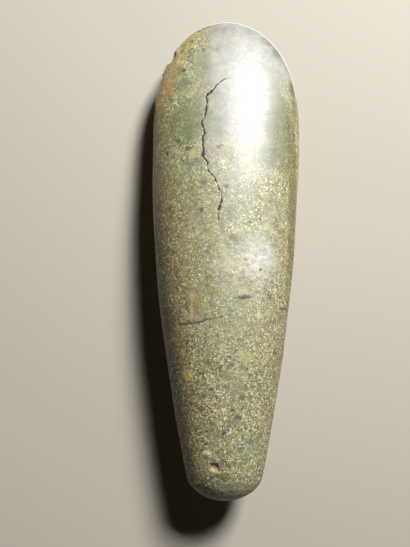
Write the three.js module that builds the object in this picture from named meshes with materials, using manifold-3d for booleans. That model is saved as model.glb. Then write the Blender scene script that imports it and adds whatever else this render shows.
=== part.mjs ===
// A polished greenstone axe head, lying as it comes to rest on one broad face.
//
// Units are millimetres and +Z is up. The cutting edge points along +Y and the butt along -Y.
// The axe head is one piece of stone. It is worked out in its own frame first, where `along`
// runs from the butt (0) to the cutting edge (LENGTH), x is across from the middle line and z
// is up from the middle plane. There the small breaks are taken out of it. Then it is tipped
// as it lies, ground flat where it rests, and centred over the origin.

import * as THREE from "three";
import { mergeVertices } from "three/addons/utils/BufferGeometryUtils.js";
import Module from "manifold-3d";

const wasm = await Module();
wasm.setup();

// ---- Driving dimensions -------------------------------------------------------------------

const LENGTH = 250;
const WIDTH = 76.4;
const THICKNESS = 52;

// The outline in plan: sides that bow out from the butt to the widest place, and two rounded ends.
const WIDEST_AT = 0.69 * LENGTH;
const BUTT_WIDTH = 0.445 * WIDTH; // where the lines of the sides would meet the end of the butt
const SIDE_BOW = 1.75; // 1 would be straight sides
const BUTT_ROUND = 12.2; // length of the rounded end of the butt
const EDGE_ROUND = 61; // length of the rounded cutting edge
const EDGE_FULLNESS = 2.5; // 2 would be half an ellipse
const EDGE_LEAN = 1.2; // the cutting edge stands a little to the right of the middle line
const LEAN_FROM = 0.48 * LENGTH;
const LEAN_TO = 0.86 * LENGTH;

// The side view: thickest nearer the butt, with long faces that fall to the cutting edge.
const THICKEST_AT = 0.41 * LENGTH;
const BUTT_THICKNESS = 0.56 * THICKNESS;
const BACK_BOW = 1.75;
const BUTT_NOSE = 17; // length of the rounded end of the butt in side view
const FACE_FALL = 0.7; // 0.5 would be a round end, 1 a straight wedge with a soft shoulder

// The cross-section: an oval in the body, and a lens with sharp sides in the blade.
const OVAL = 0.5;
const LENS = 0.755;
const LENS_FROM = 0.66 * LENGTH;
const LENS_TO = 0.93 * LENGTH;

// Grinding by hand leaves long, low swells: this high, and this long from crest to crest. One
// has two crests round the section, the other, shorter one has three.
const SWELL = 0.12;
const LONG_SWELL = { length: 96, start: 1.1, turn: 0.6 };
const SHORT_SWELL = { length: 56, start: 0, turn: 0 };

// How it lies: its weight tips the blade down until the stone stands on its belly.
const LIE_ANGLE = THREE.MathUtils.degToRad(2.3);
const FLAT_DEPTH = 0.8; // what is ground off the belly, where it stands

// Breaks, each a round scoop of this radius and depth. The angle goes round the section from
// the right side (0) over the top (90) to the left side (180).
const BREAKS = [
  { name: "edge chip", along: 230.8, angle: 169, radius: 6.5, depth: 1.5 },
  { name: "flake behind the chip", along: 235.4, angle: 152, radius: 8.5, depth: 0.6 },
  { name: "nick in the side", along: 220.9, angle: 172, radius: 2.5, depth: 0.5 },
  { name: "pit in the butt", along: 20.4, angle: 104, radius: 2.6, depth: 1 },
  { name: "scar above the pit", along: 28.4, angle: 109, radius: 8, depth: 0.5 },
];

const RINGS = 78; // steps from butt to edge
const SEGMENTS = 52; // steps round the section

// ---- The form of the stone ----------------------------------------------------------------

// Rises from 0 at the very end of a rounded nose of this length to 1 where the nose is over.
function nose(distance, length) {
  const left = Math.max(1 - distance / length, 0);
  return Math.sqrt(Math.max(1 - left * left, 0));
}

// Half the width of the outline at a place along the axe head.
function halfWidth(along) {
  const before = Math.max((WIDEST_AT - along) / WIDEST_AT, 0);
  const side = WIDTH - (WIDTH - BUTT_WIDTH) * before ** SIDE_BOW;
  const intoEdge = Math.max((along - LENGTH + EDGE_ROUND) / EDGE_ROUND, 0);
  const edge = Math.sqrt(Math.max(1 - intoEdge ** EDGE_FULLNESS, 0));
  return (side / 2) * nose(along, BUTT_ROUND) * edge;
}

// Half the thickness on the middle line at a place along the axe head.
function halfThickness(along) {
  if (along < THICKEST_AT) {
    const before = (THICKEST_AT - along) / THICKEST_AT;
    const back = THICKNESS - (THICKNESS - BUTT_THICKNESS) * before ** BACK_BOW;
    return (back / 2) * nose(along, BUTT_NOSE);
  }
  const intoFace = (along - THICKEST_AT) / (LENGTH - THICKEST_AT);
  return (THICKNESS / 2) * Math.max(1 - intoFace ** 2, 0) ** FACE_FALL;
}

// One low swell, as a share of its full height, with this many crests round the section.
function swellShare({ length, start, turn }, crests, along, angle) {
  return Math.sin((2 * Math.PI * along) / length + start) * Math.cos(crests * angle + turn);
}

// How far hand grinding leaves the surface above or below the true form.
function swell(along, angle) {
  return SWELL * (swellShare(LONG_SWELL, 2, along, angle) + swellShare(SHORT_SWELL, 3, along, angle));
}

// A point of the surface in the axe head's own frame. The swell dies out towards both ends.
function skin(along, angle) {
  const width = halfWidth(along);
  const thickness = halfThickness(along);
  const sharp = THREE.MathUtils.lerp(OVAL, LENS, THREE.MathUtils.smoothstep(along, LENS_FROM, LENS_TO));
  const lean = EDGE_LEAN * THREE.MathUtils.smoothstep(along, LEAN_FROM, LEAN_TO);
  const body = Math.min(width / WIDTH, thickness / THICKNESS) * 2;
  const grown = 1 + (swell(along, angle) * body) / (THICKNESS / 2);
  const rise = Math.abs(Math.sin(angle)) ** (2 * sharp) * Math.sign(Math.sin(angle));
  return new THREE.Vector3(
    lean + width * grown * Math.cos(angle),
    along,
    thickness * grown * rise,
  );
}

// The whole surface as rings of points from the butt to the cutting edge. The rings crowd
// together towards both ends, where the outline turns fastest.
function stoneGeometry() {
  const points = [skin(0, 0)];
  for (let ring = 1; ring < RINGS; ring++) {
    const along = (LENGTH / 2) * (1 - Math.cos((Math.PI * ring) / RINGS));
    for (let segment = 0; segment < SEGMENTS; segment++) {
      points.push(skin(along, (2 * Math.PI * segment) / SEGMENTS));
    }
  }
  points.push(skin(LENGTH, 0));

  const at = (ring, segment) => 1 + (ring - 1) * SEGMENTS + (segment % SEGMENTS);
  const last = points.length - 1;
  const index = [];
  for (let segment = 0; segment < SEGMENTS; segment++) {
    index.push(0, at(1, segment), at(1, segment + 1));
    for (let ring = 1; ring < RINGS - 1; ring++) {
      const [a, b] = [at(ring, segment), at(ring, segment + 1)];
      const [c, d] = [at(ring + 1, segment + 1), at(ring + 1, segment)];
      index.push(a, d, b, b, d, c);
    }
    index.push(last, at(RINGS - 1, segment + 1), at(RINGS - 1, segment));
  }
  return new THREE.BufferGeometry().setFromPoints(points).setIndex(index);
}

// ---- Cutting ------------------------------------------------------------------------------

// A closed three.js geometry as a solid that can be cut.
function solidOf(geometry) {
  const bare = new THREE.BufferGeometry();
  bare.setAttribute("position", geometry.getAttribute("position"));
  bare.setIndex(geometry.index);
  const merged = mergeVertices(bare, 1e-4);
  return new wasm.Manifold(
    new wasm.Mesh({
      numProp: 3,
      vertProperties: merged.getAttribute("position").array,
      triVerts: new Uint32Array(merged.index.array),
    }),
  );
}

// A solid as a three.js geometry with flat faces.
function geometryOf(solid) {
  const { vertProperties, triVerts } = solid.getMesh();
  const geometry = new THREE.BufferGeometry();
  geometry.setAttribute("position", new THREE.BufferAttribute(vertProperties, 3));
  geometry.setIndex(new THREE.BufferAttribute(triVerts, 1));
  return geometry;
}

// The round tool that takes out one break: a ball that reaches `depth` below the surface.
function breakTool({ along, angle, radius, depth }) {
  const turn = THREE.MathUtils.degToRad(angle);
  const step = 1e-3;
  const place = skin(along, turn);
  const round = skin(along, turn + step).sub(place);
  const forward = skin(along + step, turn).sub(place);
  const outwards = forward.cross(round).normalize();
  const centre = place.clone().addScaledVector(outwards, radius - depth);
  const ball = new THREE.IcosahedronGeometry(radius, 4);
  return solidOf(ball.translate(centre.x, centre.y, centre.z));
}

// ---- The axe head -------------------------------------------------------------------------

function axeHead() {
  const broken = BREAKS.map(breakTool).reduce(
    (stone, tool) => stone.subtract(tool),
    solidOf(stoneGeometry()),
  );

  const lying = geometryOf(broken);
  lying.rotateX(-LIE_ANGLE);
  lying.computeBoundingBox();
  const ground = lying.boundingBox.min.z + FLAT_DEPTH;
  const grinder = new THREE.BoxGeometry(2 * WIDTH, 2 * LENGTH, THICKNESS);
  grinder.translate(0, LENGTH / 2, ground - THICKNESS / 2);
  const geometry = geometryOf(solidOf(lying).subtract(solidOf(grinder)));

  geometry.computeBoundingBox();
  const { min, max } = geometry.boundingBox;
  const greenstone = new THREE.MeshStandardMaterial({ color: 0x9a976f, roughness: 0.45, metalness: 0 });
  const mesh = new THREE.Mesh(geometry, greenstone);
  mesh.name = "axe_head";
  mesh.position.set(-(min.x + max.x) / 2, -(min.y + max.y) / 2, -min.z);
  return mesh;
}

const model = new THREE.Group();
model.add(axeHead());

export default model;
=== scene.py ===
# %% [markdown]
# # A polished stone axe head
#
# The object is the head of a stone axe: one cobble of mottled green stone, pecked to a long
# tapering body, then ground and polished at the cutting end. It has lost its haft and lies on
# one broad face. This file dresses the plain solid of it: the same form, made again as one
# fine surface, with the peck marks, cracks and chips in the mesh and the minerals of the
# stone in the material.
#
# Everything is worked out in millimetres in the stone's own frame: `along` runs from the
# butt (0) to the cutting edge, x is across, z is up from the middle plane.

import math

import bpy
import numpy as np
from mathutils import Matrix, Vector


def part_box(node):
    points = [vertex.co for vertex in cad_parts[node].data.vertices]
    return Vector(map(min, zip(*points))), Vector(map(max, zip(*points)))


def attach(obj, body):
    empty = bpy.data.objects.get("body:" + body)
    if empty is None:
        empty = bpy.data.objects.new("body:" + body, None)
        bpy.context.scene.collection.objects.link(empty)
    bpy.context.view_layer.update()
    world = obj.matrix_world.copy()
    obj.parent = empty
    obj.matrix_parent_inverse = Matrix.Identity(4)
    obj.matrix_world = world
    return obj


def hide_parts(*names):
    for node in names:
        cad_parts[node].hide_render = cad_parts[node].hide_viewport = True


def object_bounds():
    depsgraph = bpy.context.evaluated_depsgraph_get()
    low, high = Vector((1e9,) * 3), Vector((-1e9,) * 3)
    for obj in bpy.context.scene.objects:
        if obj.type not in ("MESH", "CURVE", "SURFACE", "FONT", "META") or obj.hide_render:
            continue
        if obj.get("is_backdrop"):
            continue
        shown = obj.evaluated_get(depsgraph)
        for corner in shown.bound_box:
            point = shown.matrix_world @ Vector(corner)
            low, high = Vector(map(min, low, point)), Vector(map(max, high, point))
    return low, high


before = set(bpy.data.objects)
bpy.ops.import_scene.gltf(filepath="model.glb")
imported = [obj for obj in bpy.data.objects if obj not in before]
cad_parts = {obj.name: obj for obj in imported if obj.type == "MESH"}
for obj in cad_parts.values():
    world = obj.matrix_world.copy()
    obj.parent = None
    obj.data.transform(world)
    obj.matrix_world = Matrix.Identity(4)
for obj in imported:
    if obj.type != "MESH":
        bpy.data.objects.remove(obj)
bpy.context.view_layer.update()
node_low, node_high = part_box("axe_head")

# %% [markdown]
# ## The form of the stone
#
# An axe head like this was shaped by eye, but its outline follows a few simple rules: sides
# that bow out from the butt to the widest place, a rounded butt, and a cutting edge that is a
# little fuller than half an ellipse. It could be sculpted, or lofted through drawn sections.
# Formulas are used here, because the solid it stands for is made by the same ones, so the two
# agree everywhere with nothing to fit.

# %% Driving dimensions, in millimetres
LENGTH = 250.0
WIDTH = 76.4
THICKNESS = 52.0

WIDEST_AT = 0.69 * LENGTH
BUTT_WIDTH = 0.445 * WIDTH
SIDE_BOW = 1.75
BUTT_ROUND = 12.2
EDGE_ROUND = 61.0
EDGE_FULLNESS = 2.5
EDGE_LEAN = 1.2
LEAN_FROM, LEAN_TO = 0.48 * LENGTH, 0.86 * LENGTH

THICKEST_AT = 0.41 * LENGTH
BUTT_THICKNESS = 0.56 * THICKNESS
BACK_BOW = 1.75
BUTT_NOSE = 17.0
FACE_FALL = 0.7

OVAL, LENS = 0.5, 0.755
LENS_FROM, LENS_TO = 0.66 * LENGTH, 0.93 * LENGTH

SWELL = 0.12
LONG_SWELL = dict(length=96.0, start=1.1, turn=0.6, crests=2)
SHORT_SWELL = dict(length=56.0, start=0.0, turn=0.0, crests=3)

LIE_ANGLE = math.radians(2.3)
print("length, width and thickness:", LENGTH, WIDTH, THICKNESS, "mm")


# %% The outline, the side view and the section
def smoothstep(value, low, high):
    """0 below `low`, 1 above `high`, and 3t^2 - 2t^3 between them."""
    t = np.clip((value - low) / (high - low), 0, 1)
    return t * t * (3 - 2 * t)


def nose(distance, length):
    """A quarter of an ellipse: 0 at the very end, 1 where the rounded nose is over."""
    left = np.maximum(1 - distance / length, 0)
    return np.sqrt(np.maximum(1 - left**2, 0))


def half_width(along):
    """The side line, which bows by a power of the way still to go to the widest place, times
    the rounding of the butt, times the rounding of the cutting edge (a superellipse)."""
    before = np.maximum((WIDEST_AT - along) / WIDEST_AT, 0)
    side = WIDTH - (WIDTH - BUTT_WIDTH) * before**SIDE_BOW
    into_edge = np.maximum((along - LENGTH + EDGE_ROUND) / EDGE_ROUND, 0)
    edge = np.sqrt(np.maximum(1 - into_edge**EDGE_FULLNESS, 0))
    return side / 2 * nose(along, BUTT_ROUND) * edge


def half_thickness(along):
    """Behind the thickest place the back falls by a power of the way, with a rounded nose.
    In front of it the face falls as a power of one minus the square of the way."""
    before = np.maximum((THICKEST_AT - along) / THICKEST_AT, 0)
    back = (THICKNESS - (THICKNESS - BUTT_THICKNESS) * before**BACK_BOW) * nose(along, BUTT_NOSE)
    into_face = np.maximum((along - THICKEST_AT) / (LENGTH - THICKEST_AT), 0)
    face = THICKNESS * np.maximum(1 - into_face**2, 0) ** FACE_FALL
    return np.where(along < THICKEST_AT, back, face) / 2


def lean(along):
    """How far the middle line has moved to the right."""
    return EDGE_LEAN * smoothstep(along, LEAN_FROM, LEAN_TO)


def swell(along, angle):
    """Two low waves that hand grinding leaves, each a sine along the stone times a cosine
    round it."""
    waves = [
        np.sin(2 * np.pi * along / w["length"] + w["start"]) * np.cos(w["crests"] * angle + w["turn"])
        for w in (LONG_SWELL, SHORT_SWELL)
    ]
    return SWELL * sum(waves)


def skin(along, angle):
    """A point of the smooth surface. x goes as the cosine of the angle round the section and
    z as a power of its sine: the power 1 gives the oval of the body, a higher one the lens
    with sharp sides of the blade."""
    width, thickness = half_width(along), half_thickness(along)
    sharp = OVAL + (LENS - OVAL) * smoothstep(along, LENS_FROM, LENS_TO)
    body = 2 * np.minimum(width / WIDTH, thickness / THICKNESS)
    grown = 1 + swell(along, angle) * body / (THICKNESS / 2)
    rise = np.abs(np.sin(angle)) ** (2 * sharp) * np.sign(np.sin(angle))
    x = lean(along) + width * grown * np.cos(angle)
    return np.stack([x, along + 0 * x, thickness * grown * rise], axis=-1)


def outwards(along, angle, step=1e-3):
    """The unit normal: the cross product of a small step along and a small step round."""
    here = skin(along, angle)
    forward = skin(along + step, angle) - here
    around = skin(along, angle + step) - here
    normal = np.cross(forward, around)
    return normal / np.linalg.norm(normal, axis=-1, keepdims=True)


print("widest", round(2 * float(half_width(np.array(WIDEST_AT))), 1), "mm, thickest",
      round(2 * float(half_thickness(np.array(THICKEST_AT))), 1), "mm")

# %% [markdown]
# ## Noise from whole arrays
#
# Pecked stone is random but not shapeless: each blow of the hammerstone leaves one small
# bowl. Two helpers cover all of it. One is smooth noise on a cubic lattice, for swells, torn
# outlines and patches. The other puts one round pit in each lattice cell. Both work on whole
# arrays and hash the cell's own numbers, so the result is the same on every run. Blender's own
# noise would do for the looks, but it is only there inside a material.


# %% Lattice noise and pits
def cell_number(cells, seed):
    """One fixed number from 0 to 1 for each cell: its three whole numbers times large odd
    numbers, mixed by shifts."""
    c = cells.astype(np.int64).astype(np.uint32)
    mixed = c[..., 0] * np.uint32(73856093) ^ c[..., 1] * np.uint32(19349663)
    mixed ^= c[..., 2] * np.uint32(83492791) ^ np.uint32(seed * 40503 + 12345)
    mixed = (mixed ^ (mixed >> np.uint32(15))) * np.uint32(2246822519)
    mixed = (mixed ^ (mixed >> np.uint32(13))) * np.uint32(3266489917)
    mixed ^= mixed >> np.uint32(16)
    return mixed.astype(np.float64) / 2**32


def soft_noise(points, size, seed):
    """Noise from -1 to 1 with bumps about `size` mm across: a number at each lattice corner,
    blended between the eight corners of a cell by 3t^2 - 2t^3."""
    place = points / size
    cell = np.floor(place)
    blend = (place - cell) ** 2 * (3 - 2 * (place - cell))
    total = 0
    for corner in np.ndindex(2, 2, 2):
        share = np.prod(np.where(np.array(corner) == 1, blend, 1 - blend), axis=-1)
        total = total + share * cell_number(cell + np.array(corner), seed)
    return 2 * total - 1


def rough_noise(points, size, seed, octaves=3):
    """Soft noise plus itself at half the size and 0.55 of the height, and so on."""
    layers = [0.55**k * soft_noise(points, size / 2**k, seed + k) for k in range(octaves)]
    return sum(layers) / sum(0.55**k for k in range(octaves))


def pits(points, spacing, seed):
    """How deep a point lies in round bowls, from 0 to 1: one bowl in each cell of the lattice,
    with its own place and radius, each bowl one minus the square of the way out to its rim."""
    place = points / spacing
    cell = np.floor(place)
    deepest = np.zeros(points.shape[:-1])
    for offset in np.ndindex(3, 3, 3):
        near = cell + np.array(offset) - 1
        centre = near + np.stack([cell_number(near, seed + k) for k in range(3)], axis=-1)
        radius = 0.4 + 0.4 * cell_number(near, seed + 3)
        away = np.sum((place - centre) ** 2, axis=-1) / radius**2
        deepest = np.maximum(deepest, 1 - away)
    return deepest


three_places = np.array([(0.0, 10.0, 0.0), (0.0, 10.5, 0.0), (0.0, 11.0, 0.0)])
print("noise at three places 0.5 mm apart:", np.round(soft_noise(three_places, 2.0, 1), 2))

# %% [markdown]
# ## A grid that follows the cracks
#
# The surface is one grid of rows along the stone and columns round it. Its points are less than
# a millimetre apart, and further apart on the belly, which lies on the ground. Two old cracks
# run over the upper face, thinner than that. They could be cut with a boolean or left to the
# material. Instead the grid leans: one column runs exactly down the long crack, one row along
# the cross crack, and their neighbours crowd in. Each crack is then a real groove.

# %% Rows and columns
ROWS = 400
COLUMNS = 248
BELLY_FINENESS = 0.55


def running_length(*coordinates, weight=1.0):
    """The length along a line up to each of its points, each step times its weight."""
    steps = np.sqrt(sum(np.diff(c) ** 2 for c in coordinates)) * weight
    return np.concatenate([[0], np.cumsum(steps)])


def even_steps(values, lengths, count):
    """`count` values with equal stretches of the running length between them."""
    return np.interp(np.linspace(0, lengths[-1], count), lengths, values)


dense_along = LENGTH / 2 * (1 - np.cos(np.linspace(0, np.pi, 4001)))
outline_length = running_length(dense_along, half_width(dense_along))
row_along = even_steps(dense_along, outline_length, ROWS + 1)[1:-1]

dense_angle = np.linspace(0, 2 * np.pi, 4001)
belly = np.maximum(-np.sin(dense_angle[1:]), 0) ** 2
section_length = running_length(
    WIDTH / 2 * np.cos(dense_angle),
    THICKNESS / 2 * np.sin(dense_angle),
    weight=1 - (1 - BELLY_FINENESS) * belly,
)
column_angle = even_steps(dense_angle, section_length, COLUMNS + 1)[:-1]
along, angle = np.meshgrid(row_along, column_angle, indexing="ij")
row_step, column_step = outline_length[-1] / ROWS, section_length[-1] / COLUMNS
print("grid", along.shape, "with", 2 * along.size, "triangles, steps of",
      round(row_step, 2), "mm along the outline and", round(column_step, 2), "mm round the widest section")

# %% The two cracks, as points (x, along) on the upper face
LONG_CRACK = np.array([
    (7.2, 218.0), (4.6, 217.6), (2.6, 216.8), (0.2, 216.0), (-2.5, 214.3), (-4.0, 212.9), (-5.2, 211.5),
    (-6.3, 209.9), (-7.8, 208.4), (-9.7, 206.7), (-9.4, 205.2), (-9.2, 203.3), (-9.6, 198.8),
    (-10.3, 195.6), (-11.6, 193.7), (-11.8, 192.3), (-11.2, 190.7), (-10.3, 186.6), (-11.3, 185.1),
    (-11.0, 181.9), (-11.4, 180.1), (-10.8, 179.1), (-11.2, 177.8), (-10.9, 174.8), (-9.9, 173.2),
    (-8.6, 171.7), (-9.5, 170.4), (-8.5, 167.5), (-5.5, 163.8), (-3.9, 160.5), (-3.1, 157.6),
    (-1.8, 156.2), (-1.8, 153.0), (-2.3, 151.6), (-3.4, 147.7), (-3.6, 144.7),
])[::-1]
CROSS_CRACK = np.array([
    (-23.9, 91.1), (-18.6, 91.3), (-15.5, 92.1), (-13.2, 92.2), (-10.6, 93.0), (-9.0, 93.8),
    (-6.5, 94.0), (-4.1, 94.6), (-0.9, 95.1), (6.0, 96.6), (20.0, 98.4), (27.7, 98.7), (32.6, 98.7),
])
print("the long crack runs", round(float(running_length(*LONG_CRACK.T)[-1])), "mm, the cross crack",
      round(float(running_length(*CROSS_CRACK.T)[-1])), "mm")

# %% Leaning the grid along them
CROWD = 0.66
CROWD_REACH = 2.4
WANDER = 0.4
LONG_CRACK_PULL = 0.75  # radians round the section over which the columns lean
CROSS_CRACK_PULL = 22  # mm along the stone over which the rows lean


def crowd_in(offset):
    """Draws offsets (mm) towards 0: each is shortened by CROWD near 0, and by nothing a few
    times CROWD_REACH away, so lines never cross."""
    return offset * (1 - CROWD * np.exp(-((offset / CROWD_REACH) ** 2)))


def follow_long_crack(along, angle):
    """Leans the columns so that one of them runs down the long crack, then crowds the rest
    in. Returns the new angle and the distance from the crack in mm."""
    line = np.stack([0 * along, along, 0 * along], axis=-1)
    path_x = np.interp(along, LONG_CRACK[:, 1], LONG_CRACK[:, 0]) + WANDER * rough_noise(line, 1.8, 5)
    width = half_width(along)
    path_angle = np.arccos(np.clip((path_x - lean(along)) / width, -1, 1))
    middle = column_angle[np.argmin(np.abs(column_angle - np.median(path_angle)))]
    near_ends = smoothstep(along, 122, 140) * (1 - smoothstep(along, 219, 233))
    away = angle - middle
    leaned = angle + (path_angle - middle) * np.exp(-((away / LONG_CRACK_PULL) ** 2)) * near_ends
    offset = (leaned - path_angle) * width
    crowded = offset + (crowd_in(offset) - offset) * near_ends
    return path_angle + crowded / width, crowded


def follow_cross_crack(along, angle):
    """Leans the rows so that one of them runs along the cross crack, then crowds the rest in.
    Returns the new place along and the distance from the crack in mm."""
    x = half_width(along) * np.cos(angle) + lean(along)
    path_along = np.interp(x, CROSS_CRACK[:, 0], CROSS_CRACK[:, 1])
    middle = row_along[np.argmin(np.abs(row_along - np.median(CROSS_CRACK[:, 1])))]
    top = smoothstep(np.sin(angle), 0.1, 0.4)
    leaned = along + (path_along - middle) * np.exp(-(((along - middle) / CROSS_CRACK_PULL) ** 2)) * top
    offset = leaned - path_along
    crowded = offset + (crowd_in(offset) - offset) * top
    return path_along + crowded, np.where(np.sin(angle) > 0, crowded, 99.0)


angle, from_long_crack = follow_long_crack(along, angle)
along, from_cross_crack = follow_cross_crack(along, angle)
smooth = skin(along, angle)
normal = outwards(along, angle)
x = smooth[..., 0]
print("crack lines laid, nearest grid points (mm):",
      round(float(np.abs(from_long_crack).min()), 3), round(float(np.abs(from_cross_crack).min()), 3))

# %% [markdown]
# ## Where each finish is
#
# Three finishes meet on this stone. The body keeps the bowls of the pecking. The blade was
# ground and polished until they were gone. Along the left of the blade iron has stained the
# stone and weather has roughened it. None of them ends at a line: each fades out over some
# way, with a torn border. Each could be painted by hand. Here each is a number from 0 to 1 for
# every point of the grid, a smooth step made ragged by noise, so the relief and the material
# both read it and one number moves its border.

# %% Polish and stain
POLISH_FROM, POLISH_TO = 118, 178
POLISH_RAGGED = 22
STAIN_FROM, STAIN_TO = 192, 246
STAIN_WIDTH = 4.5

polish = smoothstep(along + POLISH_RAGGED * rough_noise(smooth, 26, 11), POLISH_FROM, POLISH_TO)

from_left = half_width(along) * (1 + np.cos(angle))
widening = smoothstep(along, 203, 214) * (1 - 0.3 * smoothstep(along, 226, STAIN_TO))
stain_width = STAIN_WIDTH * (1 + widening)
torn = 1.7 * rough_noise(smooth, 5, 21) + 0.8 * rough_noise(smooth, 1.6, 25)
stain = 1 - smoothstep(from_left + torn, stain_width - 3, stain_width + 1)
stain *= smoothstep(along + torn, STAIN_FROM, STAIN_FROM + 10)
stain *= 1 - smoothstep(along + torn, STAIN_TO - 5, STAIN_TO)
stain *= np.where(np.sin(angle) > 0, 1, 0.8)
print("polished share", round(float(polish.mean()), 2), "stained share", round(float(stain.mean()), 3))

# %% Brown and warm on the left, partly weathering and partly painted shade; a grey film on the blade, partly painted sheen
share_across = (x - lean(along)) / half_width(along)  # -1 on the left outline, 1 on the right one

# Brown, darkest at the left outline and towards the butt: partly weathering, partly painted shade on the
# side that turns away from the light.
brown = 1 - smoothstep(share_across + 0.08 * rough_noise(smooth, 12, 81), -0.93, -0.64)
brown *= 1 - 0.6 * smoothstep(along, 60, 200)
# A warm band on the left: partly weathering, partly painted warm shade.
warm = np.exp(-(((share_across + 0.68) / 0.2) ** 2)) * (1 - smoothstep(along, 120, 175))
# The grey film on the blade: partly a greyer polish, partly the painted sheen of the broad highlight.
blade_polish_and_sheen = smoothstep(along + 12 * rough_noise(smooth, 18, 85), 152, 208)
blade_polish_and_sheen *= smoothstep(share_across + 0.15 * rough_noise(smooth, 14, 87), -0.8, 0.05)
blade_polish_and_sheen *= 1 - smoothstep(share_across, 0.55, 0.85) * (1 - smoothstep(along, 200, 225))
print("shares of brown, warm and film:", [round(float(f.mean()), 2) for f in (brown, warm, blade_polish_and_sheen)])

# %% Speckle and gloss
SPECKLE = 0.8
GLOSS_SPOT = dict(x=14.5, along=124, half_width=8, half_length=11, strength=0.75)

speckle = SPECKLE + 0.2 * (1 - smoothstep(along, 25, 95)) - 0.25 * polish
speckle *= np.clip(1 + 0.5 * rough_noise(smooth, 9, 91) + 0.5 * rough_noise(smooth, 24, 93), 0.2, 1.6)
speckle *= (1 - 0.8 * blade_polish_and_sheen) * (1 + 0.3 * (1 - smoothstep(share_across, -0.7, -0.2)))

spot_away = ((x - GLOSS_SPOT["x"]) / GLOSS_SPOT["half_width"]) ** 2
spot_away += ((along - GLOSS_SPOT["along"]) / GLOSS_SPOT["half_length"]) ** 2
gloss = np.maximum(polish, GLOSS_SPOT["strength"] * np.exp(-spot_away))
print("speckle from", round(float(speckle.min()), 2), "to", round(float(speckle.max()), 2))


# %% The rim along the edge, partly wear and partly a painted highlight, and the steep sides
def from_outline(along, x):
    """How far a place is inside the outline of the blade, in mm: what is left of its rule, one
    minus the rounding of the edge minus the square of the way across, over its slope."""
    side = half_width(np.minimum(along, LENGTH - EDGE_ROUND))
    into_edge = np.maximum((along - LENGTH + EDGE_ROUND) / EDGE_ROUND, 0)
    across = (x - lean(along)) / side
    inside = 1 - into_edge**EDGE_FULLNESS - across**2
    slope = np.hypot(2 * across / side, EDGE_FULLNESS * into_edge**1.5 / EDGE_ROUND)
    return np.abs(inside) / np.maximum(slope, 1e-3)


# Pale along the whole edge of the blade: partly worn, crushed stone, partly a painted highlight of the
# rounded edge.
rim = (1 - smoothstep(from_outline(along, x), 0.3, 0.9)) * smoothstep(along, 203, 214)
steep = 1 - smoothstep(normal[..., 2], 0.45, 0.85)
print("share on the worn rim", round(float(rim.mean()), 3), "and steep", round(float(steep.mean()), 2))

# %% [markdown]
# ## Relief
#
# Each blow of the hammerstone leaves a bowl a millimetre or two wide and a tenth deep. On the
# blade the grinding has taken all but a trace of them, and the stained stone is rotten and
# uneven. A displacement map could show this. Here it is a height in millimetres that moves
# the points themselves along their normals, so that it is in the mesh.

# %% The height of the relief, in mm
PECK_DEPTH, PECK_SPACING = 0.13, 2.1
FINE_PECK_DEPTH, FINE_PECK_SPACING = 0.08, 1.3
LEFT_BY_POLISH = 0.07  # the share of the pecking that full polish leaves
WAVE_HEIGHT, WAVE_SIZE = 0.10, 14
RIPPLE_HEIGHT, RIPPLE_SIZE = 0.05, 4
STAIN_LOSS = 0.16
STAIN_PIT_DEPTH, STAIN_PIT_SPACING = 0.10, 3.2

pecks = pits(smooth, PECK_SPACING, 31)
fine_pecks = pits(smooth, FINE_PECK_SPACING, 41)
left_by_polish = 1 - (1 - LEFT_BY_POLISH) * polish
height = -(PECK_DEPTH * pecks + FINE_PECK_DEPTH * fine_pecks) * left_by_polish
height += WAVE_HEIGHT * rough_noise(smooth, WAVE_SIZE, 51)
height += RIPPLE_HEIGHT * rough_noise(smooth, RIPPLE_SIZE, 55) * left_by_polish
height -= STAIN_LOSS * stain * (0.5 + 0.5 * rough_noise(smooth, 2.6, 61))
height -= STAIN_PIT_DEPTH * stain * pits(smooth, STAIN_PIT_SPACING, 65)
print("relief from", round(float(height.min()), 2), "to", round(float(height.max()), 2), "mm")

# %% [markdown]
# ## The cracks
#
# The long crack starts as a hair line in the gloss of the blade, gapes along its middle, and
# breaks up into short bits on the body. The cross crack shows on the left and again at the right
# side, and is closed between. How far each is open is a number along it, times ragged noise. It
# sets the width of the groove and how dark the painted shade in it is.


# %% How far a crack is open
def groove(distance, half_width_mm):
    """A V-shaped groove: 1 on its line and 0 from its half width outwards."""
    return np.clip(1 - np.abs(distance) / half_width_mm, 0, 1)


def stretch(value, start, end, fade):
    """1 between start and end, fading to 0 over `fade` outside them."""
    return smoothstep(value, start - fade, start) * (1 - smoothstep(value, end, end + fade))


# where the lower end of the long crack shows again: from, to, fade (mm along) and how open
LAST_BITS = [(151, 155, 0.8, 1.0), (147.6, 149.6, 0.6, 1.0), (143.3, 146, 0.8, 0.5)]

ragged = rough_noise(smooth, 2.2, 71)
hair_line = 0.3 * stretch(along, 157, 214, 3)
gape = 0.8 * stretch(along, 173.5, 209.5, 2) * (1 + 0.7 * ragged)
last_bits = sum(share * stretch(along, start, end, fade) for start, end, fade, share in LAST_BITS)
long_open = np.clip(hair_line + gape + last_bits, 0, 1)
cross_open = (stretch(x, -23, -2, 2) + stretch(x, 27.5, 32, 1)) * (0.7 + 0.5 * ragged)
print("long crack open on", int((long_open > 0.5).any(axis=1).sum()), "rows")

# %% The grooves
LONG_DEPTH, CROSS_DEPTH = 0.16, 0.10

steepness = np.gradient(LONG_CRACK[:, 0], LONG_CRACK[:, 1])
slant = np.interp(along, LONG_CRACK[:, 1], steepness)
straight_distance = from_long_crack / np.sqrt(1 + slant**2)
long_width = np.maximum(0.6 + 0.9 * ragged, 0.25) * (0.3 + 0.7 * long_open)
long_crack = groove(straight_distance, long_width) * (long_open > 0.05)
cross_crack = groove(from_cross_crack, 0.42 + 0.12 * ragged) * np.clip(cross_open, 0, 1)

height -= LONG_DEPTH * long_crack + CROSS_DEPTH * cross_crack
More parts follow.
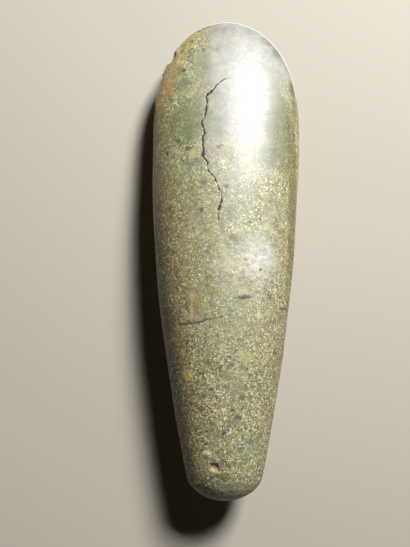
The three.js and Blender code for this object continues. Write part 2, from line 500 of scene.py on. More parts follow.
# Near black in the cracks: the painted shade of a gap that the light does not reach, darkest where the
# crack is most open.
crack = np.clip(4 * long_crack * (0.35 + 0.65 * long_open) + 1.6 * cross_crack, 0, 1)
print("with the cracks from", round(float(height.min()), 2), "to", round(float(height.max()), 2), "mm")

# %% [markdown]
# ## Chips and pits
#
# Old blows have taken small flakes out of the cutting edge and out of the butt. A flake leaves
# a round, shallow hollow. A boolean with a ball would cut it, but leave ragged triangles, so
# here the ball is pressed into the surface: points inside it move out to it. The solid has the
# same hollows, cut by the same balls.

# %% Press the balls in
CHIPS = [
    dict(name="edge chip", along=230.8, angle=169, radius=6.5, depth=1.5),
    dict(name="flake behind the chip", along=235.4, angle=152, radius=8.5, depth=0.6),
    dict(name="nick in the side", along=220.9, angle=172, radius=2.5, depth=0.5),
    dict(name="pit in the butt", along=20.4, angle=104, radius=2.6, depth=1.0),
    dict(name="scar above the pit", along=28.4, angle=109, radius=8.0, depth=0.5),
]


def press_ball(points, chip):
    """Moves the points inside one ball straight out to its surface. Returns the points and,
    from 0 to 1, how far into the ball each one was."""
    a, t = np.array(chip["along"]), np.radians(chip["angle"])
    centre = skin(a, t) + outwards(a, t) * (chip["radius"] - chip["depth"])
    away = points - centre
    distance = np.linalg.norm(away, axis=-1, keepdims=True)
    inside = np.clip((chip["radius"] - distance) / chip["depth"], 0, 1)
    pressed = centre + away * np.maximum(distance, chip["radius"]) / distance
    return pressed, inside[..., 0]


points = smooth + normal * height[..., None]
chipped = np.zeros(along.shape)
for chip in CHIPS:
    points, inside = press_ball(points, chip)
    chipped = np.maximum(chipped, inside)
    print(chip["name"], "takes", int((inside > 0).sum()), "points")

# %% [markdown]
# ## Laying it down
#
# Set free on a table the stone tips a little until its weight is over its belly. The surface
# is turned by that angle, everything below the ground is pressed flat, and the whole is moved
# so that its box is centred over the origin, exactly where the solid lies.


# %% Tip, flatten and place
FLAT_DEPTH = 0.8


def lie_down(p):
    """A turn about the x axis that lowers the blade."""
    c, s = math.cos(LIE_ANGLE), math.sin(LIE_ANGLE)
    return np.stack([p[..., 0], p[..., 1] * c + p[..., 2] * s, p[..., 2] * c - p[..., 1] * s], axis=-1)


ends = skin(np.array([1e-9, LENGTH]), np.array([0.0, 0.0]))
lying, lying_ends = lie_down(points), lie_down(ends)
smooth_lying = lie_down(smooth).reshape(-1, 3)
ground = smooth_lying[:, 2].min() + FLAT_DEPTH
low = np.minimum(smooth_lying.min(0), lying_ends.min(0))
high = np.maximum(smooth_lying.max(0), lying_ends.max(0))
shift = np.array([-(low[0] + high[0]) / 2, -(low[1] + high[1]) / 2, -ground])
placed = lying + shift
placed[..., 2] = np.maximum(placed[..., 2], 0)
placed_ends = lying_ends + shift
print("made, mm:", np.round(placed.reshape(-1, 3).min(0), 2), np.round(placed.reshape(-1, 3).max(0), 2))
print("CAD, mm: ", [round(1000 * v, 2) for v in node_low], [round(1000 * v, 2) for v in node_high])

# %% [markdown]
# ## Minerals in patches, with a few painted highlights and shades
#
# Here and there the stone has an inclusion or a cloud of another mineral, and these are what
# makes it this stone and no other. A few patches are partly or wholly painted light: pale grains
# with a painted highlight on the pecked body, a painted highlight on the lip of the pit in the
# butt, and painted shade in that pit and behind the edge chip. They could be painted as an image.
# Here each is a named ellipsoid with a ragged border and a colour of its own, laid one over the
# other on the points of the grid.


# %% Colours, from sRGB hex to linear
def linear(hex_colour):
    """An sRGB hex colour as three linear numbers."""
    channels = np.array([int(hex_colour[i:i + 2], 16) / 255 for i in (1, 3, 5)])
    return np.where(channels <= 0.04045, channels / 12.92, ((channels + 0.055) / 1.055) ** 2.4)


print("the olive of the stone, linear:", np.round(linear("#78754c"), 3))

# %% The patches
# name, place (x, along), half width and half length in mm, colour, strength
PATCHES = [
    ("ochre band, right side", 34.8, 150, 4.2, 75, "#544e1a", 0.7),
    ("olive streak, right edge", 36.4, 203, 2.4, 8, "#5c5720", 0.8),
    ("green streak, right edge", 35.5, 213, 2.0, 6, "#454f1c", 0.8),
    ("dark green, right of the blade", 28, 187, 8, 20, "#53552e", 0.75),
    ("dark green, below the gloss", 21, 176, 8, 7, "#525636", 0.7),
    ("grey-green, right of the blade", 27.4, 233, 3.4, 5, "#52574c", 0.75),
    ("grey beside the edge", 23, 239, 6, 3, "#5d5f57", 0.6),
    ("cream grains, right of the blade", 29.6, 227.5, 2.6, 3, "#74736a", 0.7),
    ("pink grains, right of the blade", 31.0, 221, 2.8, 5, "#8b8678", 0.7),
    ("grey-green, right shoulder", 28.5, 203, 3.6, 8, "#66694e", 0.7),
    ("smooth grey-green, middle", 6, 158, 9, 15, "#717259", 0.6),
    ("grey cloud at the tip", -4, 245, 9, 2.6, "#74726a", 0.5),
    ("cream cloud on the blade", -4.5, 222, 4, 8, "#929084", 0.7),
    ("blue-green by the stain", -20.8, 215.5, 2.8, 4, "#656e50", 0.85),
    ("green inclusion in the stain", -22.7, 222.4, 2.6, 2.2, "#676c22", 0.9),
    ("yellow-green below it", -23.5, 218.6, 1.8, 2.2, "#8b8440", 0.8),
    ("dark grain beside it", -21.0, 222.0, 1.2, 1.1, "#3a3f18", 1.0),
    ("dark spot at the edge", -16.9, 238.6, 1.4, 1.2, "#4a3f18", 1.0),
    # Painted shade of the chip's facet that faces away from the light.
    ("painted shade behind the chip", -22.3, 233.8, 1.8, 1.6, "#37352a", 1.0),
    ("orange core of the stain", -28.7, 212.5, 2.6, 5, "#8f6a1c", 0.9),
    ("peach grains in the stain", -22.6, 227.5, 3.2, 3.0, "#a58d5e", 0.85),
    ("pink-brown grains in the stain", -27.0, 222.5, 1.8, 5, "#86704c", 0.8),
    ("ochre at the top of the stain", -19.5, 235.8, 2.6, 3, "#8a7a3c", 0.8),
    ("rust tail of the stain", -32.6, 202.5, 2.2, 5, "#856530", 0.85),
    ("green cloud on the blade", -11.6, 227.5, 4, 6, "#717857", 0.6),
    ("green cloud, left of the blade", -21, 194, 15, 11, "#5c633a", 0.6),
    ("green cloud by the crack", -17.7, 188, 4.5, 5, "#5c6741", 0.7),
    ("green cloud right of the crack", -2, 190, 4, 6, "#69705a", 0.6),
    ("dark grain below it", -3.3, 179.6, 1.2, 1.2, "#3f3d22", 1.0),
    ("its neighbour", -1.6, 180.6, 1.0, 0.9, "#4a4828", 0.9),
    ("slate grain, left", -23.7, 183.7, 1.5, 1.3, "#2f331c", 1.0),
    ("slate tail", -22.0, 182.0, 2.0, 1.2, "#4b4e32", 0.9),
    ("olive eye, left", -18.2, 179.5, 2.0, 1.6, "#3b3a10", 1.0),
    ("yellow-green grain, left", -15.7, 177.0, 2.8, 2.0, "#939463", 0.85),
    ("slate streak to the crack", -13.8, 173.4, 2.8, 1.1, "#5a5b43", 0.9),
    ("slate streak, its end", -17.6, 171.2, 3.4, 1.1, "#62644a", 0.8),
    ("dark eye by the crack", 0.7, 159.7, 1.5, 1.4, "#2f300e", 1.0),
    ("pink grains, left side", -27.8, 155.4, 2.8, 4, "#8f7f58", 0.6),
    ("pink-brown, right", 22.7, 147.5, 3, 5.5, "#86806a", 0.6),
    ("orange grain, right", 31.3, 152.1, 1.6, 1.6, "#877d56", 0.7),
    ("green cloud, right", 26.5, 150.8, 2, 3, "#6f7550", 0.6),
    ("dark pair, left", -11.8, 147.9, 1.3, 1.0, "#3f3a28", 1.0),
    ("pink grain beside it", -10.0, 147.8, 1.0, 1.0, "#a8a38a", 0.9),
    ("dark grain", 16.9, 143.3, 1.1, 1.0, "#4c4c2e", 0.9),
    ("yellow-green cluster", 20.2, 139.6, 3.0, 1.8, "#9c9b72", 0.9),
    ("cream vein, upper end", 28.4, 140.6, 1.4, 2.2, "#a8a482", 0.85),
    ("cream vein, lower end", 25.0, 137.0, 2.0, 0.9, "#a5a288", 0.8),
    # These two are pale grains partly, and partly a painted highlight where the light's reflection runs
    # down the pecked body.
    ("pale grains and painted highlight, right", 13, 122, 17, 19, "#a3a18d", 0.5),
    ("palest grains and painted highlight", 17.5, 124, 7.5, 11, "#bab8b0", 0.6),
    ("olive eye", 3.4, 134.3, 2.4, 1.8, "#5e5f1d", 1.0),
    ("dark rim of the eye", 5.0, 132.7, 1.1, 0.8, "#4a4b22", 0.7),
    ("slate cloud", 10.0, 112, 4, 2.2, "#716f58", 0.6),
    ("dark olive bar", 8.8, 104.5, 4.4, 1.3, "#23260a", 1.0),
    ("yellow-green below it", 8.8, 101.8, 2.8, 1.7, "#797d42", 0.85),
    ("mint grain", 5.9, 98.5, 1.6, 2.4, "#7d8a64", 0.95),
    ("pink grain", 0.4, 97.0, 1.4, 1.9, "#7a6b4e", 0.8),
    ("cream streak", 16.4, 95.6, 1.1, 2.6, "#b5b292", 0.9),
    ("dark grain, right", 22.3, 104.5, 1.2, 0.9, "#4b4430", 1.0),
    ("dark grain, lower right", 18.8, 103.1, 1.0, 0.9, "#55552f", 0.9),
    ("ochre beside the vein", -13.6, 101, 2.0, 7, "#8a6e3c", 0.85),
    ("pale vein", -16.8, 100, 0.9, 9, "#a8926a", 0.9),
    ("cream grains by the vein", -19.4, 95.4, 2.2, 2.4, "#a29472", 0.7),
    ("warm grains, left side", -27.0, 120, 2.4, 10, "#84744c", 0.55),
    ("warm grains, lower left", -22.6, 76, 3, 5, "#86724e", 0.6),
    ("yellow-green grain", 9.7, 75, 4.2, 3.2, "#939456", 0.9),
    ("green eye", -7.7, 72.6, 3.2, 2.0, "#625f1c", 0.8),
    ("dark green grain", 3.1, 71.4, 1.3, 1.3, "#3f4112", 1.0),
    ("dark eye, right", 25.1, 77.2, 1.9, 1.8, "#48461a", 1.0),
    ("yellow grain, left", -19.1, 66, 3.2, 2.8, "#b7ac62", 0.85),
    ("dark grain, one", 7.4, 70.4, 1.0, 1.0, "#4a4b26", 1.0),
    ("dark grain, two", 10.6, 69.1, 1.0, 1.0, "#48461d", 1.0),
    ("green band", 5.7, 57, 2.8, 12, "#757650", 0.6),
    ("dark green pair", 8.3, 55.2, 2.2, 1.4, "#3b3e15", 1.0),
    ("dark green grain, low", 3.5, 48.9, 1.4, 1.2, "#4a4c22", 1.0),
    ("slate grain", 6.2, 45.3, 2.0, 1.1, "#33372a", 1.0),
    ("slate cloud below it", 4.9, 43.4, 2.4, 2.0, "#5f6245", 0.8),
    ("dark grain, butt", -0.8, 37.9, 1.3, 1.2, "#2c2d0d", 1.0),
    ("teal cloud, butt", -7.6, 38.3, 4.5, 4.5, "#6c714c", 0.5),
    ("yellow-green, butt", -14.1, 30.8, 2.8, 2.4, "#a9995c", 0.8),
    ("dark hollow above the scar", -9.1, 32.2, 1.4, 0.9, "#45392a", 0.9),
    ("cream flecks in the scar", -9.2, 27.6, 2.6, 1.1, "#d4c49c", 1.0),
    ("slate below the scar", -9.8, 25.4, 2.0, 1.0, "#4d4a3c", 0.8),
    ("peach in the scar", -6.3, 29.6, 2.0, 1.3, "#ccb483", 0.95),
    ("slate by the pit", -1.8, 23.4, 1.6, 2.2, "#565d4c", 0.9),
    ("dark grain right of the pit", 1.9, 21.2, 1.6, 1.2, "#403f22", 1.0),
    ("green below the pit", -1.6, 16.4, 4.8, 1.9, "#59611c", 0.95),
    ("pale grains at the end of the butt", 4, 5.5, 15, 6.5, "#a39f78", 0.65),
    ("yellow-green, end of the butt", 11, 8.5, 3.4, 2.6, "#8d9048", 0.6),
    # The pit: rust darkened with painted shade and a near-black slot of painted shade on the wall away
    # from the light, and a cream lip that is a painted highlight on the wall facing it.
    ("rust and painted shade inside the pit", -4.0, 21.0, 2.2, 1.5, "#5c2f14", 1.0),
    ("painted shade in the slot of the pit", -6.2, 21.7, 1.7, 0.9, "#120a04", 1.0),
    ("lip of the pit, upper end", -7.9, 20.6, 0.9, 1.4, "#b59a6c", 1.0),
    ("lip of the pit", -6.6, 18.9, 1.6, 1.0, "#d6c096", 1.0),
    ("lip of the pit, lower end", -4.0, 17.9, 2.0, 0.8, "#c4b084", 1.0),
]

# %% Laying them on the grid
patch_colour = np.zeros(along.shape + (3,))
patch_share = np.zeros(along.shape)
for number, (_, px, pa, rx, ra, colour, strength) in enumerate(PATCHES):
    pt = np.arccos(np.clip((px - lean(np.array(pa))) / half_width(np.array(pa)), -1, 1))
    centre = skin(np.array(pa), pt)
    away = np.linalg.norm((smooth - centre) / np.array([rx, ra, rx]), axis=-1)
    away = away + 0.35 * rough_noise(smooth, max(1.2, 0.8 * min(rx, ra)), 101 + 3 * number)
    share = strength * (1 - smoothstep(away, 0.45, 1.35))
    total = np.maximum(patch_share + share * (1 - patch_share), 1e-9)
    weight = (share / total)[..., None]
    patch_colour = patch_colour * (1 - weight) + linear(colour) * weight
    patch_share = patch_share + share * (1 - patch_share)
print(len(PATCHES), "patches, covering", round(float((patch_share > 0.3).mean()), 3), "of the points")

# %% [markdown]
# ## The mesh
#
# The grid becomes four-sided faces, and a fan of triangles closes each end. What the material
# has to know about a place changes slowly, so it is worked out here, on the points, and kept as
# named attributes. Nodes could do the same sums, but numbers in a table are easier to read and
# to change. Only what is finer than the grid, the grains and clouds, is left to the nodes.


# %% Faces of a grid that is closed at both ends
def grid_faces(rows, columns):
    """Quads of a grid that closes on itself round the section, point 0 and the last point
    being the two ends, and the fans that close it there. Wound to face outwards."""
    number = 1 + np.arange(rows * columns).reshape(rows, columns)
    following = np.roll(number, -1, axis=1)
    quads = np.stack([number[:-1], number[1:], following[1:], following[:-1]], axis=-1).reshape(-1, 4)
    first, last = 0, rows * columns + 1
    fan_a = np.stack([np.full(columns, first), number[0], following[0]], axis=-1)
    fan_b = np.stack([np.full(columns, last), following[-1], number[-1]], axis=-1)
    return quads, np.concatenate([fan_a, fan_b])


quads, fans = grid_faces(*along.shape)
vertices = np.concatenate([placed_ends[:1], placed.reshape(-1, 3), placed_ends[1:]]) / 1000
mesh = bpy.data.meshes.new("greenstone_axe_head")
mesh.from_pydata(vertices.tolist(), [], quads.tolist() + fans.tolist())
mesh.polygons.foreach_set("use_smooth", np.ones(len(mesh.polygons), dtype=bool))
print("faces:", len(quads), "quads and", len(fans), "triangles")

# %% What the material reads at each point
polished_gloss = smoothstep(gloss, 0, 1)
evenness = np.maximum(0.75 * patch_share, 0.5 * brown)

FIELDS = {
    # shares from 0 to 1, by which a colour covers what is under it
    # a grey film on the blade, partly painted sheen of the highlight
    "grey_polish_and_sheen": 0.85 * blade_polish_and_sheen,
    # warm and brown: partly weathering, partly painted shade on the left side
    "warm": 0.5 * warm,
    "brown": 0.9 * brown,
    "yellow_streaks": 0.15 + 0.75 * steep,
    "brown_streaks": 0.10 + 0.80 * steep,
    "eyes": 1 - blade_polish_and_sheen,
    "rust": stain * (0.85 - 0.7 * patch_share),
    "rust_middle": smoothstep(placed[..., 1], 90, 98),
    "rust_top": smoothstep(placed[..., 1], 103, 109),
    "chipped": 0.25 * chipped,
    # a pale rim along the blade's edge: partly wear, partly a painted highlight
    "rim": 0.85 * rim,
    # a little darker in the bowls of the pecking
    "pecked": 0.15 * pecks * left_by_polish,
    # near black in the cracks: painted shade of their gaps
    "crack": crack,
    # how strongly single grains stand out: less in patches and in the brown
    "contrast": speckle * (1 - evenness),
    # how matt the stone is, how much glossier its cream grains are, how strong the fine bump is
    "roughness": 0.68 - 0.13 * polished_gloss + 0.25 * stain,
    "grain_gloss": 0.20 - 0.15 * polished_gloss,
    "fine_bump": 0.80 - 0.65 * smoothstep(polish, 0, 1),
}


def on_points(field):
    """A grid field as one row of numbers, each end taking the mean of its ring."""
    ends = [field[ring].mean(axis=0) for ring in (0, -1)]
    return np.concatenate([[ends[0]], field.reshape((-1,) + field.shape[2:]), [ends[1]]])


for name, field in FIELDS.items():
    attribute = mesh.attributes.new(name, "FLOAT", "POINT")
    attribute.data.foreach_set("value", on_points(field).astype(np.float32))
patch_rgba = on_points(np.concatenate([patch_colour, patch_share[..., None]], axis=-1))
attribute = mesh.attributes.new("patch", "FLOAT_COLOR", "POINT")
attribute.data.foreach_set("color", patch_rgba.astype(np.float32).ravel())
mesh.update()
mesh.validate()

axe = bpy.data.objects.new("greenstone_axe_head", mesh)
bpy.context.scene.collection.objects.link(axe)
print("mesh:", len(mesh.vertices), "points,", sum(len(p.vertices) - 2 for p in mesh.polygons), "triangles")

# %% [markdown]
# ## Greenstone
#
# The stone is taken for a serpentine-rich greenstone: an olive groundmass of fine flakes, with
# paler grains and darker ones. Pecking bruises the grains, so the body is dull and speckled
# cream and dark. Polishing closes the surface: the blade is evener and shines, and its grey
# film is partly a greyer polish and partly painted sheen. An image could carry all this, but
# only at one scale. Here the colour is built up in coats, each laid over the last by a share,
# and each pattern is a noise with its size in millimetres.

# %% One helper for nodes
MM = 1000.0  # Object coordinates are in metres; this turns them to millimetres


def node(tree, kind, inputs=None, **settings):
    """Adds one node, sets its settings, and fills its inputs: an output is linked, anything
    else is set on the socket."""
    made = tree.nodes.new(kind)
    for key, value in settings.items():
        setattr(made, key, value)
    for key, value in (inputs or {}).items():
        if isinstance(value, bpy.types.NodeSocket):
            tree.links.new(value, made.inputs[key])
        else:
            made.inputs[key].default_value = value
    return made


def rgba(colour):
    """An sRGB hex colour as a linear one with full alpha. An output passes as it is."""
    return (*linear(colour), 1.0) if isinstance(colour, str) else colour


# 0e0e09 is the painted shade down in the cracks.
print("the dirt in the cracks, linear:", np.round(rgba("#0e0e09"), 4))


# %% Clouds, grains and coats
def place_in_mm(tree, shift, drawn_out=1.0):
    """Object coordinates in mm. The shift sets each pattern apart from the others, and a
    squeeze along the stone draws out what is made on them."""
    place = node(tree, "ShaderNodeTexCoord").outputs["Object"]
    return node(tree, "ShaderNodeMapping", {
        "Vector": place,
        "Location": (shift, -shift, 2 * shift),
        "Scale": (MM, MM / drawn_out, MM),
    }).outputs[0]


def cloud(tree, size, start, end, low, high, shift, detail=2.0, roughness=0.5, drawn_out=1.0,
          rise="SMOOTHSTEP"):
    """`low` where a noise with bumps about `size` mm wide is under `start`, `high` where it is
    over `end`, and a soft or a straight rise between them."""
    noise = node(tree, "ShaderNodeTexNoise", {
        "Vector": place_in_mm(tree, shift, drawn_out),
        "Scale": 1 / size,
        "Detail": detail,
        "Roughness": roughness,
    }).outputs["Fac"]
    return node(tree, "ShaderNodeMapRange", {
        "Value": noise, "From Min": start, "From Max": end, "To Min": low, "To Max": high,
    }, interpolation_type=rise).outputs[0]


def grains(tree, size, shift):
    """Three numbers from 0 to 1 for each grain about `size` mm across: the cells of a Voronoi
    pattern, each with a colour of its own, taken apart."""
    cells = node(tree, "ShaderNodeTexVoronoi", {"Vector": place_in_mm(tree, shift), "Scale": 1 / size})
    return node(tree, "ShaderNodeSeparateColor", {0: cells.outputs["Color"]}).outputs[:3]


def coat(tree, under, over, *shares):
    """Lays one colour over another, by the product of the shares."""
    share = shares[0]
    for further in shares[1:]:
        share = node(tree, "ShaderNodeMath", {0: share, 1: further}, operation="MULTIPLY").outputs[0]
    colours = {6: rgba(under), 7: rgba(over)}
    return node(tree, "ShaderNodeMix", {0: share, **colours}, data_type="RGBA").outputs[2]


def cloudy_coats(tree, colour, clouds, *shares, drawn_out=1.0):
    """One coat for each row of a table of clouds, each where its own noise is high."""
    for size, start, end, most, shift, detail, roughness, over in clouds:
        place = cloud(tree, size, start, end, 0, most, shift, detail, roughness, drawn_out)
        colour = coat(tree, colour, over, place, *shares)
    return colour


print("patterns take their sizes in mm, so a 9 mm cloud has a noise scale of", round(1 / 9, 3))

# %% [markdown]
# ### Groundmass, weathering, painted shade and streaks
#
# Serpentine, chlorite and amphibole lie in clouds of a few millimetres to a few centimetres.
# The left side turns warm and then brown, partly by weather and partly as painted shade that
# deepens towards its outline; the fine polish has a grey film, partly painted sheen; and
# foliation shows as streaks along the sides. Each is one more coat.

# %% The groundmass and what drifts over it
# size in mm, start and end of the rise, greatest share, shift, detail, roughness, colour
GROUND_CLOUDS = [
    (9, 0.44, 0.62, 0.6, 13, 3.0, 0.55, "#94906a"),
    (7, 0.48, 0.64, 0.5, 29, 3.0, 0.6, "#62663c"),
    (11, 0.50, 0.64, 0.7, 41, 2.0, 0.5, "#757d60"),
    (6, 0.54, 0.66, 0.5, 43, 2.0, 0.5, "#8d7f62"),
    (5, 0.54, 0.66, 0.5, 47, 2.0, 0.5, "#878348"),
]
YELLOW_STREAKS = [(1.5, 0.50, 0.60, 0.6, 59, 3.0, 0.6, "#7b7328")]
BROWN_STREAKS = [(1.7, 0.50, 0.60, 0.6, 63, 3.0, 0.6, "#604629")]
STREAK_LENGTH = 9  # times their width


def groundmass(tree, shares):
    """Two olives that drift over 30 mm, the clouds over them, the grey film (partly painted
    sheen), the warm and brown of the left side (partly weathering, partly painted shade), and
    the streaks."""
    drift = cloud(tree, 30, 0.35, 0.65, 0, 1, 0.0, detail=3.0)
    colour = coat(tree, "#78754c", "#837f58", drift)
    colour = cloudy_coats(tree, colour, GROUND_CLOUDS)
    # The grey film is partly painted sheen; the warm and brown are partly painted shade on the left.
    for name, over in (("grey_polish_and_sheen", "#848480"), ("warm", "#80682f"), ("brown", "#443009")):
        colour = coat(tree, colour, over, shares[name])
    colour = cloudy_coats(tree, colour, YELLOW_STREAKS, shares["yellow_streaks"], drawn_out=STREAK_LENGTH)
    return cloudy_coats(tree, colour, BROWN_STREAKS, shares["brown_streaks"], drawn_out=STREAK_LENGTH)


print("groundmass of", len(GROUND_CLOUDS) + 1, "clouds, sizes in mm:", [row[0] for row in GROUND_CLOUDS])

# %% [markdown]
# ### Single grains
#
# The real grains are from a tenth of a millimetre to about one. The finest can't be seen from
# here, so the fine ones are drawn a little over half a millimetre wide. Each differs a little
# in hue and more in lightness: bruised cream ones stand between dark ones. Small ones sit in
# coarser ones, and both in soft clouds.

# %% Grains
FINE_GRAINS = dict(size=0.56, shift=53, darkest=-0.52, palest=0.62)
COARSE_GRAINS = dict(size=1.6, shift=57, darkest=-0.08, palest=0.08)
SOFT_CLOUDS = [dict(size=5.5, shift=121, swing=0.14), dict(size=2.8, shift=127, swing=0.08)]
DARKEST = 0.15  # no grain is darker than this share of its colour

# which number of a grain, start and end of the rise, share under and over it, colour
HUE_TINTS = [("hue", 0.80, 0.84, 0, 0.2, "#977b4e"), ("hue", 0.16, 0.20, 0.2, 0, "#6d7440")]
KIND_TINTS = [
    ("kind", 0.86, 0.90, 0, 0.85, "#ddd3b2"),
    ("kind", 0.10, 0.14, 0.5, 0, "#373010"),
    ("coarse_kind", 0.96, 0.98, 0, 0.6, "#34341a"),
]
EYES = [  # a yellow-green halo round a dark green heart
    (4.6, 0.66, 0.71, 0.6, 83, 1.0, 0.5, "#87873f"),
    (4.6, 0.73, 0.77, 0.9, 83, 1.0, 0.5, "#34360f"),
]


def tinted_grains(tree, colour, numbers, tints, contrast):
    """One coat for each row of a table of tints, on the grains whose number it picks."""
    for which, start, end, under, over, tint in tints:
        picked = node(tree, "ShaderNodeMapRange", {
            "Value": numbers[which], "From Min": start, "From Max": end, "To Min": under, "To Max": over,
        }, interpolation_type="SMOOTHSTEP").outputs[0]
        colour = coat(tree, colour, tint, picked, contrast)
    return colour


def grained(tree, colour, numbers, contrast):
    """Tints grains, then scales each colour by its lightness: 1, plus two soft clouds, plus
    the contrast times how pale the fine and the coarse grain are."""
    colour = tinted_grains(tree, colour, numbers, HUE_TINTS, contrast)
    lightness = 1.0
    for soft in SOFT_CLOUDS:
        swing = cloud(tree, soft["size"], 0.3, 0.7, -soft["swing"], soft["swing"], soft["shift"],
                      detail=1.0, rise="LINEAR")
        lightness = node(tree, "ShaderNodeMath", {0: lightness, 1: swing}, operation="ADD").outputs[0]
    for made, value in ((FINE_GRAINS, numbers["value"]), (COARSE_GRAINS, numbers["coarse_value"])):
        paleness = node(tree, "ShaderNodeMapRange", {
            "Value": value, "To Min": made["darkest"], "To Max": made["palest"]}).outputs[0]
        lightness = node(tree, "ShaderNodeMath", {
            0: paleness, 1: contrast, 2: lightness}, operation="MULTIPLY_ADD").outputs[0]
    held = node(tree, "ShaderNodeMath", {0: lightness, 1: DARKEST}, operation="MAXIMUM").outputs[0]
    colour = node(tree, "ShaderNodeVectorMath", {0: colour, "Scale": held}, operation="SCALE").outputs[0]
    return tinted_grains(tree, colour, numbers, KIND_TINTS, contrast)


print("grains of", FINE_GRAINS["size"], "and", COARSE_GRAINS["size"], "mm")

# %% [markdown]
# ### Iron stain, fresh stone, painted highlight and painted shade
#
# Water carried iron into the left of the blade: brown at the lower end, tan in the middle and
# olive-yellow towards the tip, with pale and dark grains in it. Fresh stone is paler in the
# chips. The rim of the edge is pale, partly worn stone and partly a painted highlight. The bowls
# of the pecking are a little darker, and the cracks are near black, the painted shade of their gaps.

# %% Stain and wear
RUST_CLOUDS = [
    (3.5, 0.45, 0.62, 0.4, 97, 3.0, 0.6, "#8f8138"),
    (1.4, 0.52, 0.62, 0.75, 103, 2.0, 0.65, "#b89f70"),
    (1.8, 0.54, 0.64, 0.5, 113, 2.0, 0.6, "#5e4a22"),
]
# Chipped: paler fresh stone. Rim: partly wear, partly a painted highlight. Pecked: darker in the bowls.
# Crack: painted shade of the gaps.
WEAR_AND_PAINTED_LIGHT = [("chipped", "#a8926f"), ("rim", "#c6c1cb"), ("pecked", "#3c3a26"), ("crack", "#0e0e09")]


def stained_worn_and_painted_light(tree, colour, shares):
    """The rust by its share, then each kind of wear and painted light by its own."""
    rust = coat(tree, "#866a34", "#8c7444", shares["rust_middle"])
    rust = coat(tree, rust, "#84753c", shares["rust_top"])
    rust = cloudy_coats(tree, rust, RUST_CLOUDS)
    colour = coat(tree, colour, rust, shares["rust"])
    for name, over in WEAR_AND_PAINTED_LIGHT:
        colour = coat(tree, colour, over, shares[name])
    return colour


# This list also lays the painted highlight of the rim and the painted shade of the cracks.
print("wear, in the order it is laid:", [name for name, _ in WEAR_AND_PAINTED_LIGHT])

# %% [markdown]
# ### The whole material
#
# Greenstone reflects a little more than glass (IOR about 1.6), and a good hand polish on it
# is bright, so the specular level is at its full value. What tells the eye that the blade is
# polished is mostly the roughness and the finest bump, which both fall there. Cream grains are
# hard and keep a gloss, so the pecked body glitters where the light strikes.


# %% The material
def greenstone():
    """Serpentine-rich greenstone, pecked on the body and polished at the blade."""
    material = bpy.data.materials.new("greenstone_pecked_and_polished")
    material.use_nodes = True
    tree = material.node_tree
    tree.nodes.clear()

    kept = {name: node(tree, "ShaderNodeAttribute", attribute_name=name) for name in FIELDS}
    shares = {name: attribute.outputs["Fac"] for name, attribute in kept.items()}
    fine = grains(tree, FINE_GRAINS["size"], FINE_GRAINS["shift"])
    coarse = grains(tree, COARSE_GRAINS["size"], COARSE_GRAINS["shift"])
    numbers = dict(value=fine[0], hue=fine[1], kind=fine[2], coarse_value=coarse[0], coarse_kind=coarse[1])

    colour = groundmass(tree, shares)
    patch = node(tree, "ShaderNodeAttribute", attribute_name="patch")
    colour = coat(tree, colour, patch.outputs["Color"], patch.outputs["Alpha"])
    colour = grained(tree, colour, numbers, shares["contrast"])
    colour = cloudy_coats(tree, colour, EYES, shares["eyes"])
    colour = stained_worn_and_painted_light(tree, colour, shares)

    _, cream_start, cream_end, *_ = KIND_TINTS[0]
    cream = node(tree, "ShaderNodeMapRange", {
        "Value": numbers["kind"], "From Min": cream_start, "From Max": cream_end,
    }, interpolation_type="SMOOTHSTEP").outputs[0]
    gain = node(tree, "ShaderNodeMath", {
        0: cream, 1: shares["grain_gloss"]}, operation="MULTIPLY").outputs[0]
    rough = node(tree, "ShaderNodeMath", {
        0: shares["roughness"], 1: gain}, operation="SUBTRACT").outputs[0]
    rough = node(tree, "ShaderNodeMath", {0: rough, 1: shares["crack"]}, operation="MAXIMUM").outputs[0]

    bump = node(tree, "ShaderNodeBump", {
        "Strength": shares["fine_bump"],
        "Distance": 0.00015,
        "Height": cloud(tree, 0.7, 0, 1, 0, 1, shift=3, roughness=0.65, rise="LINEAR"),
    })
    shader = node(tree, "ShaderNodeBsdfPrincipled", {
        "Base Color": colour,
        "Roughness": rough,
        "IOR": 1.6,
        "Specular IOR Level": 1.0,
        "Normal": bump.outputs[0],
    })
    node(tree, "ShaderNodeOutputMaterial", {"Surface": shader.outputs[0]})
    return material


axe.data.materials.append(greenstone())
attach(axe, "root")
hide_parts("axe_head")
print("material:", len(axe.data.materials[0].node_tree.nodes), "nodes")

# %% [markdown]
# ## Floor, light and camera
#
# The stone lies on a plain pale floor. One large softbox stands high on the blade side and to
# the right, so that its reflection lies as a long soft band on the polished blade and the
# shadow falls to the left. A weak sky fills the rest. The camera looks straight down.

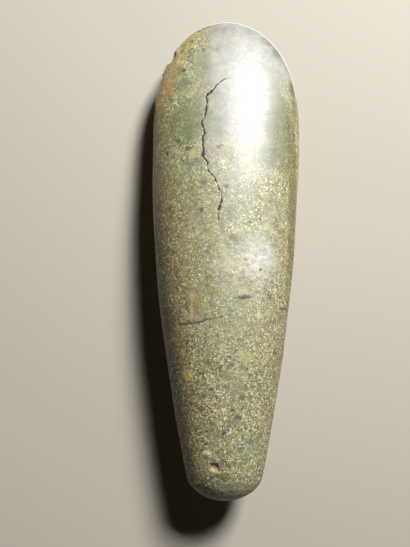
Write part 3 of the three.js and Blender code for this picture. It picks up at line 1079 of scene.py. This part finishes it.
# %% Floor
FLOOR_SIZE = 3.0
reach = FLOOR_SIZE / 2
corners = [(-reach, -reach, 0), (reach, -reach, 0), (reach, reach, 0), (-reach, reach, 0)]
floor_mesh = bpy.data.meshes.new("floor")
floor_mesh.from_pydata(corners, [], [(0, 1, 2, 3)])
floor = bpy.data.objects.new("floor", floor_mesh)
bpy.context.scene.collection.objects.link(floor)

# Matt background paper: it gives no reflection, only light from below.
paper = bpy.data.materials.new("matt_pale_paper")
paper.use_nodes = True
paper.node_tree.nodes["Principled BSDF"].inputs["Base Color"].default_value = rgba("#aba598")
paper.node_tree.nodes["Principled BSDF"].inputs["Roughness"].default_value = 0.8
floor_mesh.materials.append(paper)
floor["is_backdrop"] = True
print("floor of", FLOOR_SIZE, "m")


# %% Light
def softbox(name, direction, distance, size, power):
    """A rectangular area light at that distance in that direction from the stone, facing it.
    `size` is its width and its height in metres."""
    light = bpy.data.lights.new(name, "AREA")
    light.shape = "RECTANGLE"
    light.size, light.size_y = size
    light.energy = power
    lamp = bpy.data.objects.new(name, light)
    towards = Vector(direction).normalized()
    lamp.location = towards * distance
    lamp.rotation_euler = towards.to_track_quat("Z", "Y").to_euler()
    bpy.context.scene.collection.objects.link(lamp)
    return lamp


softbox("key_softbox", (0.49, 0.84, 1.0), 1.1, (0.26, 0.30), 25)

world = bpy.data.worlds.new("studio")
world.use_nodes = True
world.node_tree.nodes["Background"].inputs["Color"].default_value = rgba("#eee0c6")
world.node_tree.nodes["Background"].inputs["Strength"].default_value = 0.022
bpy.context.scene.world = world
bpy.context.scene.view_settings.view_transform = "Standard"

# %% Camera
CAMERA_HEIGHT = 0.450
VIEW_PLANE = 0.026  # the height of the stone's outline, where the view is measured
VIEW_LENGTH = 0.2848  # what the longer side of the view takes in there
CAMERA_AT = (-0.011, -0.0078)
camera_data = bpy.data.cameras.new("camera")
camera_data.sensor_width = 36
camera_data.lens = 36 * (CAMERA_HEIGHT - VIEW_PLANE) / VIEW_LENGTH
camera = bpy.data.objects.new("camera", camera_data)
camera.location = (*CAMERA_AT, CAMERA_HEIGHT)
bpy.context.scene.collection.objects.link(camera)
bpy.context.scene.camera = camera
print("lens", round(camera_data.lens, 1), "mm")

# %% Sizes
low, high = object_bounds()
print("visual box, mm:", [round(1000 * (b - a), 1) for a, b in zip(low, high)])
